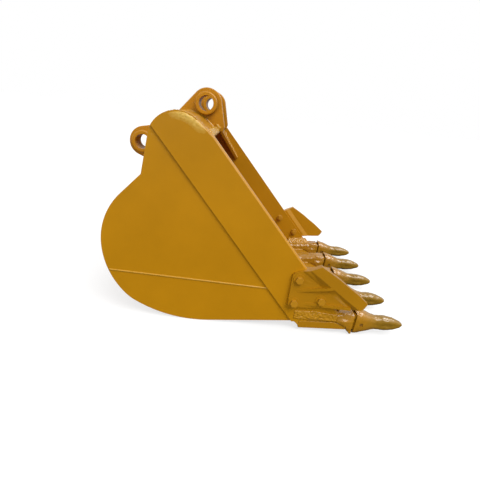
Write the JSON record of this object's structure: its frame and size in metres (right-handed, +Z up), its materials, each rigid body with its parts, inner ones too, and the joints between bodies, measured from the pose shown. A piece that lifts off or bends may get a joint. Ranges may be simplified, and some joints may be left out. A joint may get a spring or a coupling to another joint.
{
  "type": "excavator digging bucket",
  "caption": "Heavy-duty excavator digging bucket: curved welded shell, two pin ears, lip with adapters and pointed teeth, and bolted side cutters.",
  "frame": {"origin": "centre of the stick pin bore, midway between the two ears; the bucket stands on its heel and on the collars of its teeth", "axes": "+X out of the mouth, towards the teeth; +Y across the bucket along the pins, towards its right side; +Z up"},
  "size_m": [1.6357, 1.378, 1.1977],
  "materials": {
    "body_paint": "gloss",
    "inner_paint": "gloss",
    "tooth_paint": "gloss",
    "cast_paint": "gloss",
    "weld_paint": "gloss",
    "hardware_paint": "satin",
    "pin_steel": "satin"
  },
  "bodies": {
    "root": {"wrapper": "inner_paint", "throat_plate": "inner_paint", "shoulder_plate_left": "body_paint", "shoulder_plate_right": "body_paint", "side_plate_left": "body_paint", "side_plate_right": "body_paint", "lower_side_plate_left": "body_paint", "lower_side_plate_right": "body_paint", "side_bar_left": "body_paint", "side_bar_right": "body_paint", "corner_gusset_left": "inner_paint", "corner_gusset_right": "inner_paint", "ear_left": "body_paint", "ear_right": "body_paint", "stick_boss_outer_left": "body_paint", "stick_boss_outer_right": "body_paint", "stick_boss_inner_left": "body_paint", "stick_boss_inner_right": "body_paint", "link_boss_outer_left": "body_paint", "link_boss_outer_right": "body_paint", "link_boss_inner_left": "body_paint", "link_boss_inner_right": "body_paint", "lip": "body_paint", "adapter_1": "cast_paint", "adapter_2": "cast_paint", "adapter_3": "cast_paint", "adapter_4": "cast_paint", "adapter_5": "cast_paint", "tooth_1": "tooth_paint", "tooth_2": "tooth_paint", "tooth_3": "tooth_paint", "tooth_4": "tooth_paint", "tooth_5": "tooth_paint", "tooth_pin_1": "pin_steel", "tooth_pin_2": "pin_steel", "tooth_pin_3": "pin_steel", "tooth_pin_4": "pin_steel", "tooth_pin_5": "pin_steel", "pin_retainer_1": "pin_steel", "pin_retainer_2": "pin_steel", "pin_retainer_3": "pin_steel", "pin_retainer_4": "pin_steel", "pin_retainer_5": "pin_steel", "side_cutter_left": "body_paint", "side_cutter_right": "body_paint", "cutter_bolts_left": "hardware_paint", "cutter_bolts_right": "hardware_paint", "cutter_washers_left": "hardware_paint", "cutter_washers_right": "hardware_paint", "cutter_nuts_left": "hardware_paint", "cutter_nuts_right": "hardware_paint", "side_weld_left": "weld_paint", "side_weld_right": "weld_paint", "ear_weld_left": "weld_paint", "ear_weld_right": "weld_paint", "lip_weld_left": "weld_paint", "lip_weld_right": "weld_paint", "lip_floor_weld": "weld_paint"}
  },
  "joints": []
}
